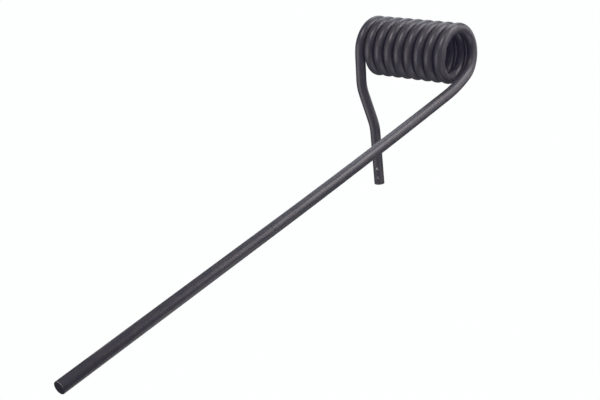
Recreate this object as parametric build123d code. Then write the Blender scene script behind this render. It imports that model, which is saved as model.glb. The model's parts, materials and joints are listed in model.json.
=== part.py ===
"""Left-hand helical torsion spring, bent from one length of round spring wire.

The frame is in millimetres. +X is the coil's axis, pointing to the end that the
long leg leaves from. +Z is up, and the origin is the middle of the coil, on its axis.
Angles round the coil are measured about +X, from +Y (0) to +Z (90).

The wire runs from the short leg's tip, round the coil and out along the long leg.
It is cut square to itself into sections, and the coil sections turn against each
other about the coil's axis when the spring is wound up.
"""

import os
from math import asin, cos, degrees, pi, radians, sin

from build123d import *

# Wire
WIRE_D = 10.0
WIRE_R = WIRE_D / 2
TIP_CHAMFER = 0.4

# Coil
COIL_MEAN_D = 47.5
COIL_PITCH = 11.25
COIL_TURNS = 8.69
COIL_END_ANGLE = -62.5
COIL_SECTIONS = 9

# Long leg: lead-out arc, a long slight bow left by straightening, then a straight end
LEAD_OUT_RADIUS = 185.0
LEAD_OUT_TURN = 10.8
BOW_RADIUS = 9500.0
BOW_TURN = 1.55
LONG_END_LENGTH = 218.0

# Short leg: squared to the axis, a jog under the coil, then a straight tail
SQUARING_RADIUS = 120.0
SHORT_ROOT_LENGTH = 20.5
JOG_OUT_RADIUS = 41.0
JOG_OUT_TURN = 20.0
JOG_LENGTH = 27.0
JOG_BACK_RADIUS = 40.0
JOG_BACK_TURN = 17.5
TAIL_LENGTH = 52.9

COIL_R = COIL_MEAN_D / 2
COIL_RISE = COIL_PITCH * COIL_TURNS
COIL_START_ANGLE = COIL_END_ANGLE + 360 * COIL_TURNS
SECTION_TURN = 360 * COIL_TURNS / COIL_SECTIONS
SECTION_RISE = COIL_RISE / COIL_SECTIONS
AXIS_DIRECTION = Vector(1, 0, 0)


def coil_point(x, angle):
    """Point on the wire's centre line in the coil."""
    return Vector(x, COIL_R * cos(radians(angle)), COIL_R * sin(radians(angle)))


def round_direction(angle):
    """Direction round the coil, square to the axis, towards the long leg."""
    return Vector(0, sin(radians(angle)), -cos(radians(angle)))


def helix_direction(angle):
    """Direction along the wire in the coil, towards the long leg."""
    rise_per_length = COIL_PITCH / (pi * COIL_MEAN_D)
    return (round_direction(angle) + AXIS_DIRECTION * rise_per_length).normalized()


def leaning(direction, lean):
    """The direction tilted by lean degrees towards +X."""
    return direction * cos(radians(lean)) + AXIS_DIRECTION * sin(radians(lean))


def coil_section():
    """First section of the coil, from the short leg's end."""
    line = Helix(COIL_PITCH, SECTION_RISE, COIL_R, lefthand=True)
    face = Plane(origin=line @ 0, z_dir=line % 0) * Circle(WIRE_R)
    along_z = sweep(face, path=line, is_frenet=True)
    # The helix starts at +X about +Z. Laid over onto +X, it starts at -Z, which is -90 degrees.
    along_x = along_z.rotate(Axis.Y, 90)
    turned = along_x.rotate(Axis.X, COIL_START_ANGLE + 90)
    return turned.translate((-COIL_RISE / 2, 0, 0))


class WireLine:
    """Solid wire made of straight runs and bends, each starting where the last one ended."""

    def __init__(self, start, direction):
        self.place = Plane(origin=start, z_dir=direction)
        self.pieces = []

    def straight(self, length, cut_end=False):
        """Adds a straight run, with a chamfered rim where the wire is cut off."""
        run = extrude(self.place * Circle(WIRE_R), amount=length)
        end = self.place.offset(length)
        if cut_end:
            rim = run.edges().filter_by(GeomType.CIRCLE).sort_by_distance(end.origin)[0]
            run = chamfer(rim, TIP_CHAMFER)
        self.pieces.append(run)
        self.place = end

    def bend(self, direction, radius):
        """Adds an arc that ends in the given direction."""
        start = self.place.z_dir
        inward = (direction - start * start.dot(direction)).normalized()
        centre = self.place.origin + inward * radius
        hinge = Axis(centre, start.cross(inward))
        turn = start.get_angle(direction)
        self.pieces.append(revolve(self.place * Circle(WIRE_R), axis=hinge, revolution_arc=turn))
        end = self.place.origin + inward * radius * (1 - cos(radians(turn)))
        end += start * radius * sin(radians(turn))
        self.place = Plane(origin=end, z_dir=direction)

    def solid(self):
        return self.pieces[0].fuse(*self.pieces[1:])


def long_leg():
    """Leg that leaves the coil's +X end and swings when the spring is wound."""
    wire = WireLine(coil_point(COIL_RISE / 2, COIL_END_ANGLE), helix_direction(COIL_END_ANGLE))
    lead_out_end = COIL_END_ANGLE - LEAD_OUT_TURN
    wire.bend(round_direction(lead_out_end), LEAD_OUT_RADIUS)
    wire.bend(round_direction(lead_out_end - BOW_TURN), BOW_RADIUS)
    wire.straight(LONG_END_LENGTH, cut_end=True)
    return wire


def short_leg():
    """Leg that leaves the coil's -X end and jogs back under the coil to its tail."""
    outward = -round_direction(COIL_START_ANGLE)
    wire = WireLine(coil_point(-COIL_RISE / 2, COIL_START_ANGLE), -helix_direction(COIL_START_ANGLE))
    wire.bend(outward, SQUARING_RADIUS)
    wire.straight(SHORT_ROOT_LENGTH)
    wire.bend(leaning(outward, JOG_OUT_TURN), JOG_OUT_RADIUS)
    wire.straight(JOG_LENGTH)
    wire.bend(leaning(outward, JOG_OUT_TURN - JOG_BACK_TURN), JOG_BACK_RADIUS)
    wire.straight(TAIL_LENGTH, cut_end=True)
    return wire


def save(shape, name):
    shape.label = name
    export_step(shape, f"parts/{name}.step")


def main():
    os.makedirs("parts", exist_ok=True)
    for name, wire in (("long_leg", long_leg()), ("short_leg", short_leg())):
        save(wire.solid(), name)
        tip = wire.place
        print(name, "tip", tip.origin, "pointing", tip.z_dir)
    first = coil_section()
    for count in range(COIL_SECTIONS):
        section = first.rotate(Axis.X, -count * SECTION_TURN)
        section = section.translate((count * SECTION_RISE, 0, 0))
        save(section, f"coil_turn_{count + 1}")


main()
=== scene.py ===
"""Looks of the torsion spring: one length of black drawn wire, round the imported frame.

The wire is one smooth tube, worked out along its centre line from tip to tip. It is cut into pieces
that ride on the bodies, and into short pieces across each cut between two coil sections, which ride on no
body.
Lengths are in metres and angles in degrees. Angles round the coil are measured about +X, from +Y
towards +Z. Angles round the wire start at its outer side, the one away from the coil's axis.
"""

import json
from collections import namedtuple
from math import cos, pi, radians, sin

import bpy
import numpy as np
from mathutils import Matrix, Vector

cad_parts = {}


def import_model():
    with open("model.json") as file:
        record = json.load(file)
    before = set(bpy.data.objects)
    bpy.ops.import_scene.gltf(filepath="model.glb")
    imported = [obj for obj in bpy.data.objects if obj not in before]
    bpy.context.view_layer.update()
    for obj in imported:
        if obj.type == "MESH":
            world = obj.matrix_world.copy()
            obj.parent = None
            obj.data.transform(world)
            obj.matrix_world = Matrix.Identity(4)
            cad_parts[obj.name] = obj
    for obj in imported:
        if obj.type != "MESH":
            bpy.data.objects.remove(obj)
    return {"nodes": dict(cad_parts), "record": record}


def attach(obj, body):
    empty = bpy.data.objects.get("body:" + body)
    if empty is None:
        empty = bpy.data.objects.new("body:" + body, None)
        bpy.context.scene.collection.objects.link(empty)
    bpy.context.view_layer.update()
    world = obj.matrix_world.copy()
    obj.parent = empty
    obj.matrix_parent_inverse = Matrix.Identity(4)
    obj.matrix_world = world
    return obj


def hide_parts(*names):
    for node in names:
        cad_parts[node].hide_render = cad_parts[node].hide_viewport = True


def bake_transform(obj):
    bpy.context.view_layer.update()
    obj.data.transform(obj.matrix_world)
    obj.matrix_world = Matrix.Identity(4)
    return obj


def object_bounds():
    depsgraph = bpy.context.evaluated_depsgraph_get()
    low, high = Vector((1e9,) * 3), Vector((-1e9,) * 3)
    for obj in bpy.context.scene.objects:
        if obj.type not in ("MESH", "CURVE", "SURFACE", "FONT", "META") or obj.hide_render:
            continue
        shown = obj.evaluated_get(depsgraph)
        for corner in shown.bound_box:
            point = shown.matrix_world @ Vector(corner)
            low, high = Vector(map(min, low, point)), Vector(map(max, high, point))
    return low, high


MM = 0.001

# The spring's driving dimensions, as the CAD has them
WIRE_R = 5.0 * MM
TIP_CHAMFER = 0.4 * MM
COIL_R = 23.75 * MM
COIL_PITCH = 11.25 * MM
COIL_TURNS = 8.69
COIL_END_ANGLE = -62.5
LEAD_OUT_RADIUS = 185.0 * MM
LEAD_OUT_TURN = 10.8
BOW_RADIUS = 9500.0 * MM
BOW_TURN = 1.55
LONG_END_LENGTH = 218.0 * MM
SQUARING_RADIUS = 120.0 * MM
SHORT_ROOT_LENGTH = 20.5 * MM
JOG_OUT_RADIUS = 41.0 * MM
JOG_OUT_TURN = 20.0
JOG_LENGTH = 27.0 * MM
JOG_BACK_RADIUS = 40.0 * MM
JOG_BACK_TURN = 17.5
TAIL_LENGTH = 52.9 * MM

# A cut end: how bare its worn edge is, from 0 to 1, and how hollow its sawn face is. The edge has rings at
# these angles of its round, and the face at these shares of its radius
EDGE_WEAR = 0.5
FACE_HOLLOW = 0.08 * MM
EDGE_ANGLES = (30, 60)
FACE_SHARES = (0.75, 0.5, 0.25)

# How finely the tube is divided
AROUND = 72
COIL_STEP = 2.5
RING_STEP = 1.2 * MM
TAIL_STEP = 0.2 * MM
TAIL_FINE_LENGTH = 20.0 * MM
SHARP_ANGLE = 32.0

# How far round the coil a piece across a cut reaches on each side of it
FLEX_ANGLE = 50.0

# Chips in the short leg's tail: distance from its tip, angle round the wire, turn, size and depth
TAIL_CHIPS = (
    (7.5 * MM, 24.0, 12.0, 1.9 * MM, 0.30 * MM),
    (16.8 * MM, 23.0, 28.0, 2.0 * MM, 0.30 * MM),
)

# A chip is two grooves that meet in a point. In shares of its size: how far back from its centre they meet,
# how far back they are deepest, how far they reach from there, their slope and their width
GROOVE_MEETING = 0.6
GROOVE_DEEPEST = 0.15
GROOVE_REACH = 0.62
GROOVE_SLOPE = 0.62
GROOVE_WIDTH = 0.24

# How fast the metal gets bare with a chip's depth, and how much of that the coat still hides
BARE_GAIN = 1.6
BARE_START = 0.35

# The wire's colours: its coat, cool and warm, in the drawing lines and where it is rubbed, the sawn faces
# and the bare metal
COAT_COOL = (0.033, 0.032, 0.038, 1)
COAT_WARM = (0.047, 0.042, 0.043, 1)
COAT_IN_LINES = (0.022, 0.022, 0.027, 1)
COAT_RUBBED = (0.088, 0.081, 0.079, 1)
FACE_DARK = (0.022, 0.021, 0.026, 1)
FACE_LIGHT = (0.050, 0.046, 0.046, 1)
BARE_METAL = (0.60, 0.58, 0.57, 1)

# How rough they are, from 0 to 1
STREAK_ROUGH = 0.42
STREAK_SMOOTH = 0.34
RUBBED_ROUGH = 0.32
FACE_ROUGH = 0.55
BARE_ROUGH = 0.34

# Heights of the wire's relief, in millimetres
STREAK_HEIGHT = 0.010
LINE_HEIGHT = 0.0025
GRAIN_HEIGHT = 0.0012
FACET_HEIGHT = 0.085
ROLL_HEIGHT = 0.20

# The stage: how far off its walls and ceiling are, and the colour that it glows in
STAGE_REACH = 12.0
STAGE_GLOW = (0.985, 1.0, 0.992, 1)

# Light: the colours of the lamps, and the even light of the world round them
LAMP_WHITE = (1, 1, 1)
LAMP_COOL = (0.94, 0.98, 1.08)
WORLD_COLOUR = (1.0, 0.98, 1.02, 1)
WORLD_STRENGTH = 0.12

# The tone curve's black, in red, green and blue
BLACK_LEVEL = (-0.0075, -0.0065, -0.0145)

# The camera: its place, the direction that its back faces, its sensor's width and lens in millimetres, and
# how near and how far it sees
CAMERA_PLACE = (0.59757, -0.90078, 0.15177)
CAMERA_AZIMUTH = 39.446
CAMERA_ELEVATION = 15.625
SENSOR_WIDTH = 36.0
LENS_LENGTH = 67.77
CLIP_START = 0.01
CLIP_END = 100.0

# The coil's axis, how far its centre line rises along it, and its turns in degrees
AXIS = Vector((1, 0, 0))
COIL_RISE = COIL_PITCH * COIL_TURNS
COIL_SWEEP = 360 * COIL_TURNS


# ---------------------------------------------------------------- centre line


def coil_place(swept):
    """Point, direction and outward normal on the coil after that many degrees from its start."""
    angle = radians(COIL_END_ANGLE + COIL_SWEEP - swept)
    outward = Vector((0, cos(angle), sin(angle)))
    point = AXIS * (COIL_RISE * (swept / COIL_SWEEP - 0.5)) + outward * COIL_R
    rise = AXIS * (COIL_PITCH / (2 * pi * COIL_R))
    return point, (Vector((0, sin(angle), -cos(angle))) + rise).normalized(), outward


def coil_length(swept):
    """Wire length from the coil's start."""
    return radians(swept) * (COIL_R**2 + (COIL_PITCH / (2 * pi)) ** 2) ** 0.5


def round_direction(angle):
    return Vector((0, sin(radians(angle)), -cos(radians(angle))))


def leaning(direction, lean):
    return direction * cos(radians(lean)) + AXIS * sin(radians(lean))


class Leg:
    """Centre line of a leg, from the coil outwards, as rows of (point, direction, normal, distance)."""

    def __init__(self, point, direction, normal):
        self.point, self.direction, self.normal = point, direction, normal
        self.distance = 0.0
        self.rows = []
        self.note()

    def note(self):
        self.rows.append((self.point.copy(), self.direction.copy(), self.normal.copy(), self.distance))

    def straight(self, length, step=RING_STEP):
        count = max(1, round(length / step))
        for _ in range(count):
            self.point = self.point + self.direction * (length / count)
            self.distance += length / count
            self.note()

    def bend(self, direction, radius, step=RING_STEP):
        turn = self.direction.angle(direction)
        axis = self.direction.cross(direction).normalized()
        centre = self.point + axis.cross(self.direction) * radius
        point, start, normal, distance = self.rows[-1]
        count = max(2, round(turn * radius / step))
        for number in range(1, count + 1):
            part = number / count
            turned = Matrix.Rotation(turn * part, 3, axis)
            self.point = centre + turned @ (point - centre)
            self.direction = turned @ start
            self.normal = turned @ normal
            self.distance = distance + turn * radius * part
            self.note()


def long_leg_line():
    point, direction, outward = coil_place(COIL_SWEEP)
    leg = Leg(point, direction, outward)
    lead_out_end = COIL_END_ANGLE - LEAD_OUT_TURN
    leg.bend(round_direction(lead_out_end), LEAD_OUT_RADIUS)
    leg.bend(round_direction(lead_out_end - BOW_TURN), BOW_RADIUS)
    leg.straight(LONG_END_LENGTH - TIP_CHAMFER)
    return leg


def short_leg_line():
    point, direction, outward = coil_place(0)
    leg = Leg(point, -direction, outward)
    down = -round_direction(COIL_END_ANGLE + COIL_SWEEP)
    leg.bend(down, SQUARING_RADIUS)
    leg.straight(SHORT_ROOT_LENGTH)
    leg.bend(leaning(down, JOG_OUT_TURN), JOG_OUT_RADIUS)
    leg.straight(JOG_LENGTH)
    leg.bend(leaning(down, JOG_OUT_TURN - JOG_BACK_TURN), JOG_BACK_RADIUS)
    leg.straight(TAIL_LENGTH - TAIL_FINE_LENGTH)
    leg.straight(TAIL_FINE_LENGTH - TIP_CHAMFER, TAIL_STEP)
    return leg


# ---------------------------------------------------------------- tube meshes


class Tube:
    """A run of rows, all with their direction towards the long leg's tip."""

    def __init__(self, rows):
        points, directions, normals, lengths = zip(*rows)
        self.points = np.array(points, float)
        self.directions = np.array(directions, float)
        self.normals = np.array(normals, float)
        self.binormals = np.cross(self.directions, self.normals)
        self.lengths = np.array(lengths, float)

    def spokes(self, row):
        """Unit vectors out from the centre line at a row, one for each point of a ring."""
        angles = ring_angles()[:, None]
        return self.normals[row] * np.cos(angles) + self.binormals[row] * np.sin(angles)


def coil_tube(first, last):
    count = max(1, round((last - first) / COIL_STEP))
    sweeps = np.linspace(first, last, count + 1)
    return Tube([(*coil_place(swept), coil_length(swept)) for swept in sweeps])


def leg_tube(leg, start, sign):
    """sign is 1 where the leg runs towards the long leg's tip, and -1 where it is walked backwards."""
    rows = [
        (point, direction * sign, normal, start + sign * distance)
        for point, direction, normal, distance in leg.rows[::sign]
    ]
    return Tube(rows)


def ring_angles():
    return np.linspace(0, 2 * pi, AROUND, endpoint=False)


# A ring of a mesh lies some distance past a row of its tube, and has a radius and a bareness for each point
Ring = namedtuple("Ring", "row past radii bare on_cut")


def chip_depths(tube):
    """How deep the tail's chips are at each point of the tube's side, and how bare the metal is there."""
    depth = np.zeros((len(tube.lengths), AROUND))
    bare = np.zeros_like(depth)
    tip = tube.lengths.min() - TIP_CHAMFER
    for distance, angle, turn, size, deepest in TAIL_CHIPS:
        along = (tube.lengths - tip - distance)[:, None] / size
        across = ((ring_angles() - radians(angle) + pi) % (2 * pi) - pi)[None, :] * WIRE_R / size
        forward = across * cos(radians(turn)) + along * sin(radians(turn))
        sideways = along * cos(radians(turn)) - across * sin(radians(turn))
        groove = (np.abs(sideways) - GROOVE_SLOPE * (forward + GROOVE_MEETING)) / GROOVE_WIDTH
        cut = np.exp(-groove**2) * np.exp(-(((forward + GROOVE_DEEPEST) / GROOVE_REACH) ** 4))
        depth += deepest * cut
        bare = np.maximum(bare, np.clip(BARE_GAIN * cut - BARE_START, 0, 1))
    return depth, bare


def end_profile(cut_off):
    """What closes an end, from the side inwards, as (distance past the last row, radius, wear).

    An end that isn't cut off lies against the next piece, and is closed with a flat face.
    """
    if not cut_off:
        return [(0.0, 0.5 * WIRE_R, 0.0)]
    face_r = WIRE_R - TIP_CHAMFER
    profile = []
    for angle in EDGE_ANGLES:
        radius = WIRE_R - TIP_CHAMFER * (1 - cos(radians(angle)))
        profile.append((TIP_CHAMFER * sin(radians(angle)), radius, EDGE_WEAR))
    profile.append((TIP_CHAMFER, face_r, 0.0))
    for share in FACE_SHARES:
        profile.append((TIP_CHAMFER - FACE_HOLLOW * (1 - share**2), face_r * share, 0.0))
    return profile


def end_rings(row, sign, cut_off):
    """Rings that close the tube at that row. sign is -1 at the tube's start, and 1 at its end."""
    return [
        Ring(row, sign * past, np.full(AROUND, radius), np.full(AROUND, wear), cut_off)
        for past, radius, wear in end_profile(cut_off)
    ]


def ring_points(tube, ring):
    """A ring's points, and their places on the wire as if it were straight."""
    angles = ring_angles()
    centre = tube.points[ring.row] + tube.directions[ring.row] * ring.past
    along = np.full(AROUND, tube.lengths[ring.row] + ring.past)
    place = np.stack([ring.radii * np.cos(angles), ring.radii * np.sin(angles), along], axis=1)
    return centre + tube.spokes(ring.row) * ring.radii[:, None], place


def hub_point(tube, ring):
    """The same for the point in the middle of a ring."""
    centre = tube.points[ring.row] + tube.directions[ring.row] * ring.past
    return centre[None], np.array([[0, 0, tube.lengths[ring.row] + ring.past]])


def tube_faces(count):
    """Faces between that many rings, and from the end rings to the two hubs, which are the last points."""
    faces = []
    for low in range(0, (count - 1) * AROUND, AROUND):
        high = low + AROUND
        for k in range(AROUND):
            after = (k + 1) % AROUND
            faces.append((low + k, low + after, high + after, high + k))
    last, hub = (count - 1) * AROUND, count * AROUND
    for k in range(AROUND):
        after = (k + 1) % AROUND
        faces.append((after, k, hub))
        faces.append((last + k, last + after, hub + 1))
    return faces


def add_attribute(mesh, name, kind, field, values):
    layer = mesh.attributes.new(name, kind, "POINT")
    layer.data.foreach_set(field, values.astype(np.float32).ravel())


def make_tube(name, tube, cut_start=False, cut_end=False, chipped=False):
    """A closed mesh along the tube.

    Its attributes give each point's place on the wire, how bare the metal is, and if it is on a cut end.
    """
    rows = len(tube.lengths)
    depth, bare = chip_depths(tube) if chipped else np.zeros((2, rows, AROUND))
    start = end_rings(0, -1, cut_start)
    side = [Ring(row, 0.0, WIRE_R - depth[row], bare[row], False) for row in range(rows)]
    rings = start[::-1] + side + end_rings(rows - 1, 1, cut_end)

    outline = [ring_points(tube, ring) for ring in rings]
    hubs = [hub_point(tube, ring) for ring in (rings[0], rings[-1])]
    points, places = (np.concatenate(part) for part in zip(*outline, *hubs))
    bareness = np.concatenate([ring.bare for ring in rings] + [(0, 0)])
    on_cut = np.append(np.repeat([ring.on_cut for ring in rings], AROUND), (cut_start, cut_end))
    faces = tube_faces(len(rings))

    mesh = bpy.data.meshes.new(name)
    mesh.from_pydata(points.tolist(), [], faces)
    add_attribute(mesh, "cut", "FLOAT", "value", on_cut)
    add_attribute(mesh, "bare", "FLOAT", "value", bareness)
    add_attribute(mesh, "wire", "FLOAT_VECTOR", "vector", places)
    mesh.polygons.foreach_set("use_smooth", np.ones(len(faces), bool))
    mesh.set_sharp_from_angle(angle=radians(SHARP_ANGLE))
    even_seams(mesh, tube, rings_before=len(start))
    piece = bpy.data.objects.new(name, mesh)
    bpy.context.scene.collection.objects.link(piece)
    return piece


def even_seams(mesh, tube, rings_before):
    """Gives the side's first and last ring the true tube's normals, so that pieces meet with no line.

    A ring's first point has the same number as the first of the four-cornered faces that follow the ring.
    Corners whose normal is left at zero keep the mesh's own.
    """
    rows = len(tube.lengths)
    first, last = rings_before * AROUND, (rings_before + rows - 1) * AROUND
    corners = np.empty(len(mesh.loops), int)
    mesh.loops.foreach_get("vertex_index", corners)
    on_side = np.zeros(len(corners), bool)
    on_side[first * 4:last * 4] = True
    normals = np.zeros((len(corners), 3))
    for row, ring in ((0, first), (rows - 1, last)):
        chosen = on_side & (corners >= ring) & (corners < ring + AROUND)
        normals[chosen] = tube.spokes(row)[corners[chosen] - ring]
    mesh.normals_split_custom_set(normals.tolist())


# ---------------------------------------------------------------- material


class Nodes:
    """Short calls for building one material's nodes."""

    def __init__(self, material):
        self.tree = material.node_tree
        self.tree.nodes.clear()

    def put(self, socket, value):
        if hasattr(value, "is_output"):
            self.tree.links.new(value, socket)
        else:
            socket.default_value = value

    def new(self, kind, **inputs):
        node = self.tree.nodes.new("ShaderNode" + kind)
        for name, value in inputs.items():
            self.put(node.inputs[name.replace("_", " ")], value)
        return node

    def attribute(self, name, output):
        node = self.tree.nodes.new("ShaderNodeAttribute")
        node.attribute_name = name
        return node.outputs[output]

    def scaled(self, vector, scale):
        node = self.new("VectorMath")
        node.operation = "MULTIPLY"
        self.put(node.inputs[0], vector)
        self.put(node.inputs[1], scale)
        return node.outputs[0]

    def noise(self, vector, across, along, detail, roughness):
        """Noise with one scale across the wire, and another along it."""
        vector = self.scaled(vector, (across, across, along))
        node = self.new("TexNoise", Vector=vector, Scale=1.0, Detail=detail, Roughness=roughness)
        return node.outputs["Fac"]

    def levels(self, value, low, high, to_low=0.0, to_high=1.0):
        """A soft step from to_low to to_high, where the value goes from low to high."""
        node = self.new("MapRange", Value=value, From_Min=low, From_Max=high, To_Min=to_low, To_Max=to_high)
        node.interpolation_type = "SMOOTHSTEP"
        return node.outputs["Result"]

    def maths(self, operation, a, b):
        node = self.new("Math")
        node.operation = operation
        self.put(node.inputs[0], a)
        self.put(node.inputs[1], b)
        return node.outputs[0]

    def mix(self, share, a, b, kind="RGBA"):
        node = self.new("Mix")
        node.data_type = kind
        inputs = [socket for socket in node.inputs if socket.enabled]
        for socket, value in zip(inputs, (share, a, b)):
            self.put(socket, value)
        return next(socket for socket in node.outputs if socket.enabled)


def black_wire():
    """Blackened drawn spring wire, with lengthwise drawing lines, mottling and rubbed scuffs."""
    material = bpy.data.materials.new("black_spring_wire")
    material.use_nodes = True
    nodes = Nodes(material)
    wire = nodes.scaled(nodes.attribute("wire", "Vector"), (1 / MM, 1 / MM, 1 / MM))  # in millimetres
    cut = nodes.attribute("cut", "Fac")
    worn = nodes.attribute("bare", "Fac")

    streaks = nodes.noise(wire, across=1.5, along=0.035, detail=2.0, roughness=0.5)
    lines = nodes.noise(wire, across=3.2, along=0.05, detail=3.0, roughness=0.6)
    mottle = nodes.noise(wire, across=0.28, along=0.10, detail=5.0, roughness=0.62)
    grain = nodes.noise(wire, across=3.0, along=1.6, detail=3.0, roughness=0.6)
    rubs = nodes.noise(wire, across=0.8, along=0.14, detail=5.0, roughness=0.65)
    facets = nodes.noise(wire, across=0.42, along=0.055, detail=1.5, roughness=0.5)
    rolls = nodes.noise(wire, across=0.10, along=0.11, detail=2.0, roughness=0.5)

    # Shares of each look, from 0 to 1
    bare = nodes.maths("MULTIPLY", worn, nodes.levels(mottle, 0.35, 0.60, 0.35, 1.0))
    warm = nodes.levels(mottle, 0.40, 0.62)
    in_lines = nodes.levels(lines, 0.34, 0.56, 0.30, 0.0)
    rubbed = nodes.levels(rubs, 0.58, 0.76, 0.0, 0.55)
    rubbed = nodes.maths("MULTIPLY", rubbed, nodes.levels(grain, 0.30, 0.60))

    coat = nodes.mix(warm, COAT_COOL, COAT_WARM)
    coat = nodes.mix(in_lines, coat, COAT_IN_LINES)
    coat = nodes.mix(rubbed, coat, COAT_RUBBED)
    face = nodes.mix(nodes.levels(grain, 0.4, 0.65), FACE_DARK, FACE_LIGHT)
    colour = nodes.mix(cut, coat, face)
    colour = nodes.mix(bare, colour, BARE_METAL)

    rough = nodes.levels(streaks, 0.3, 0.7, STREAK_ROUGH, STREAK_SMOOTH)
    rough = nodes.mix(rubbed, rough, RUBBED_ROUGH, "FLOAT")
    rough = nodes.mix(cut, rough, FACE_ROUGH, "FLOAT")
    rough = nodes.mix(bare, rough, BARE_ROUGH, "FLOAT")

    relief = nodes.maths("MULTIPLY", streaks, STREAK_HEIGHT)
    others = ((lines, LINE_HEIGHT), (grain, GRAIN_HEIGHT), (facets, FACET_HEIGHT), (rolls, ROLL_HEIGHT))
    for pattern, height in others:
        relief = nodes.maths("ADD", relief, nodes.maths("MULTIPLY", pattern, height))
    bump = nodes.new("Bump", Height=relief, Strength=1.0, Distance=MM)

    shader = nodes.new("BsdfPrincipled", Base_Color=colour, Roughness=rough, Metallic=bare)
    nodes.put(shader.inputs["Normal"], bump.outputs["Normal"])
    shader.inputs["IOR"].default_value = 1.5
    shader.inputs["Specular IOR Level"].default_value = 0.4
    shader.inputs["Specular Tint"].default_value = (1.0, 0.95, 1.0, 1)
    nodes.new("OutputMaterial", Surface=shader.outputs["BSDF"])
    return material


# ---------------------------------------------------------------- the spring's pieces


def finish_piece(piece, material, *nodes):
    piece.data.materials.append(material)
    if nodes:
        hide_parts(*nodes)


def make_legs(material, body_of):
    short_tube = leg_tube(short_leg_line(), 0.0, -1)
    short = make_tube("wire_short_leg", short_tube, cut_start=True, chipped=True)
    finish_piece(short, material, "short_leg")
    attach(short, body_of["short_leg"])
    long_tube = leg_tube(long_leg_line(), coil_length(COIL_SWEEP), 1)
    long = make_tube("wire_long_leg", long_tube, cut_end=True)
    finish_piece(long, material, "long_leg")
    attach(long, body_of["long_leg"])


def make_turns(material, body_of, sections):
    """Each coil section, less the stretches at its cuts to the next sections."""
    section_sweep = COIL_SWEEP / len(sections)
    for number, node in enumerate(sections):
        first = number * section_sweep + (FLEX_ANGLE if number else 0)
        last = (number + 1) * section_sweep - (FLEX_ANGLE if number + 1 < len(sections) else 0)
        turn = make_tube(f"wire_turn_{number + 1}", coil_tube(first, last))
        finish_piece(turn, material, node)
        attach(turn, body_of[node])


def make_flexes(material, sections):
    """The stretches round each cut between two coil sections, which ride on no body."""
    section_sweep = COIL_SWEEP / len(sections)
    for number in range(1, len(sections)):
        sweep = number * section_sweep
        flex = make_tube(f"wire_flex_{number}", coil_tube(sweep - FLEX_ANGLE, sweep + FLEX_ANGLE))
        finish_piece(flex, material)
        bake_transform(flex)


def make_spring(frame):
    material = black_wire()
    bodies = frame["record"]["behaviour"]["bodies"]
    body_of = {node: body for body, nodes in bodies.items() for node in nodes}
    sections = sorted(
        (node for node in frame["nodes"] if node.startswith("coil_turn_")),
        key=lambda node: int(node.rsplit("_", 1)[1]),
    )
    make_legs(material, body_of)
    make_turns(material, body_of, sections)
    make_flexes(material, sections)


# ---------------------------------------------------------------- stage, light and camera


def away(azimuth, elevation):
    """Unit vector away from the object. Azimuth 0 is -Y, and 90 is +X."""
    azimuth, elevation = radians(azimuth), radians(elevation)
    return Vector((sin(azimuth) * cos(elevation), -cos(azimuth) * cos(elevation), sin(elevation)))


def make_stage(height):
    """A white floor at that height, with walls and a ceiling far off. It glows evenly, with no shadow."""
    square = ((-1, -1), (1, -1), (1, 1), (-1, 1))
    corners = [(x * STAGE_REACH, y * STAGE_REACH, height) for x, y in square]
    corners += [(x, y, height + STAGE_REACH) for x, y, _ in corners]
    walls = [(k, (k + 1) % 4, (k + 1) % 4 + 4, k + 4) for k in range(4)]
    mesh = bpy.data.meshes.new("stage")
    mesh.from_pydata(corners, [], [(0, 1, 2, 3), (4, 5, 6, 7)] + walls)
    stage = bpy.data.objects.new("stage", mesh)
    bpy.context.scene.collection.objects.link(stage)
    material = bpy.data.materials.new("white_stage")
    material.use_nodes = True
    shader = material.node_tree.nodes["Principled BSDF"]
    shader.inputs["Base Color"].default_value = (0, 0, 0, 1)
    shader.inputs["Specular IOR Level"].default_value = 0.0
    shader.inputs["Emission Color"].default_value = STAGE_GLOW
    shader.inputs["Emission Strength"].default_value = 1.0
    material.cycles.emission_sampling = "NONE"  # it lights nothing, so it isn't sampled as a lamp
    mesh.materials.append(material)
    stage.visible_diffuse = stage.visible_glossy = stage.visible_shadow = False


def area_light(name, azimuth, elevation, distance, size, power, colour=LAMP_WHITE):
    """A square soft light that faces the coil's centre."""
    back = away(azimuth, elevation)
    light = bpy.data.lights.new(name, "AREA")
    light.shape = "SQUARE"
    light.size = size
    light.energy = power
    light.color = colour
    lamp = bpy.data.objects.new(name, light)
    lamp.location = back * distance
    lamp.rotation_mode = "QUATERNION"
    lamp.rotation_quaternion = back.to_track_quat("Z", "Y")
    lamp.visible_camera = False
    bpy.context.scene.collection.objects.link(lamp)


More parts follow.
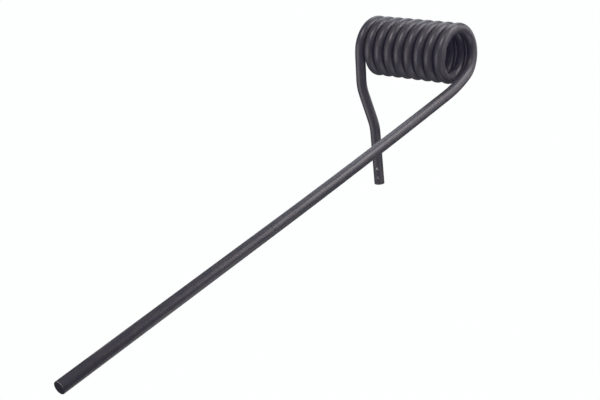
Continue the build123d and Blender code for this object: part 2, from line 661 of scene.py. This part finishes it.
def make_lights():
    area_light("key", azimuth=0, elevation=45, distance=1.5, size=0.5, power=12.5)
    area_light("rear_high", azimuth=120, elevation=50, distance=0.5, size=0.3, power=1.5)
    area_light("rear_low", azimuth=107, elevation=38, distance=0.6, size=0.4, power=1.1)
    area_light("rear_right", azimuth=150, elevation=10, distance=0.7, size=0.4, power=1.1)
    area_light("rear_left", azimuth=228, elevation=5, distance=0.8, size=0.5, power=1.2, colour=LAMP_COOL)
    area_light("side", azimuth=210, elevation=50, distance=0.6, size=0.4, power=1.3, colour=LAMP_COOL)
    area_light("right", azimuth=90, elevation=15, distance=0.4, size=0.3, power=0.5)
    area_light("below_right", azimuth=90, elevation=-45, distance=0.45, size=0.3, power=0.4)
    area_light("below_left", azimuth=330, elevation=-15, distance=0.4, size=0.3, power=0.75)
    area_light("below", azimuth=60, elevation=-75, distance=0.5, size=0.4, power=0.4)
    world = bpy.data.worlds.new("studio")
    world.use_nodes = True
    background = world.node_tree.nodes["Background"]
    background.inputs["Color"].default_value = WORLD_COLOUR
    background.inputs["Strength"].default_value = WORLD_STRENGTH
    bpy.context.scene.world = world


def set_colour_view():
    """Plain display colours, with the slight veil that a lens adds to black against a white background."""
    view = bpy.context.scene.view_settings
    view.view_transform = "Standard"
    view.use_curve_mapping = True
    view.curve_mapping.black_level = BLACK_LEVEL
    view.curve_mapping.update()


def make_camera():
    """The photograph's view: from the long leg's side, a little above, with a short telephoto lens."""
    data = bpy.data.cameras.new("camera")
    data.sensor_width = SENSOR_WIDTH
    data.lens = LENS_LENGTH
    data.clip_start, data.clip_end = CLIP_START, CLIP_END
    camera = bpy.data.objects.new("camera", data)
    camera.location = CAMERA_PLACE
    camera.rotation_mode = "QUATERNION"
    camera.rotation_quaternion = away(CAMERA_AZIMUTH, CAMERA_ELEVATION).to_track_quat("Z", "Y")
    bpy.context.scene.collection.objects.link(camera)
    bpy.context.scene.camera = camera


def main():
    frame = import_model()
    cad_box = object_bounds()
    make_spring(frame)
    make_stage(cad_box[0].z)
    make_lights()
    make_camera()
    set_colour_view()
    bpy.context.view_layer.update()


main()
